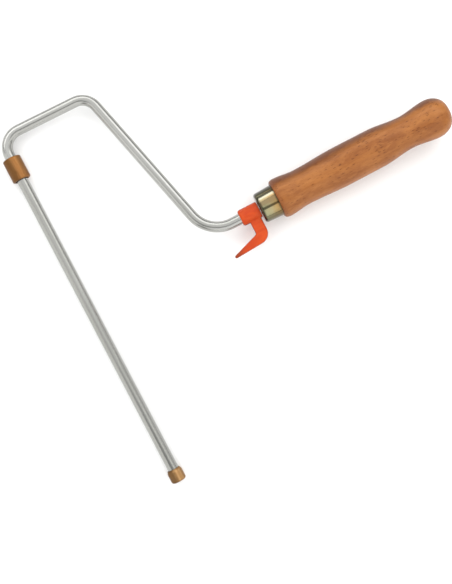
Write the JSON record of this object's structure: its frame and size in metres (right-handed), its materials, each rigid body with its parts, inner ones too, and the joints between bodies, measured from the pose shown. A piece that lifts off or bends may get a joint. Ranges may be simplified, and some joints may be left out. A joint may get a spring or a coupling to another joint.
{
  "type": "paint roller frame",
  "caption": "Bent steel rod frame for a paint roller cover, with a turned wooden handle, a ferrule, free-turning bushes on its spindle and a swivelling hook.",
  "frame": {"origin": "centre of the footprint, on the surface the frame lies on: the plane that touches the handle's widest round", "axes": "+X along the handle towards its butt, +Y along the spindle towards the bend, +Z square to the plane of the bent rod"},
  "size_m": [0.302, 0.2818, 0.0298],
  "materials": {
    "plated_rod": "bright zinc plate, drawn lengthwise",
    "varnished_beech": "satin varnish",
    "yellow_plated_steel": "glossy yellow passivated zinc",
    "orange_plastic": "semi-matte moulded",
    "inner_bronze": "satin sintered bronze",
    "tip_bronze": "satin sintered bronze",
    "spring_wire": "dark spring wire"
  },
  "bodies": {
    "frame": {"frame_rod": "plated_rod", "handle": "varnished_beech", "ferrule": "yellow_plated_steel", "inner_bush_ring_bend_side": "spring_wire", "inner_bush_ring_tip_side": "spring_wire", "tip_bush_ring": "spring_wire"},
    "hook": {"bucket_hook": "orange_plastic"},
    "bend_side_bush": {"inner_bush": "inner_bronze"},
    "end_bush": {"tip_bush": "tip_bronze"}
  },
  "joints": [
    {"name": "hook_swivel", "type": "hinge", "parent": "frame", "child": "hook", "pos_m": [-0.0105, 0.00595, 0.0149], "axis": [1, 0, 0], "continuous": true},
    {"name": "inner_bush_spin", "type": "hinge", "parent": "frame", "child": "bend_side_bush", "pos_m": [-0.14425, 0.11225, 0.0149], "axis": [0, 1, 0], "continuous": true},
    {"name": "tip_bush_spin", "type": "hinge", "parent": "frame", "child": "end_bush", "pos_m": [-0.14425, -0.13605, 0.0149], "axis": [0, 1, 0], "continuous": true}
  ]
}
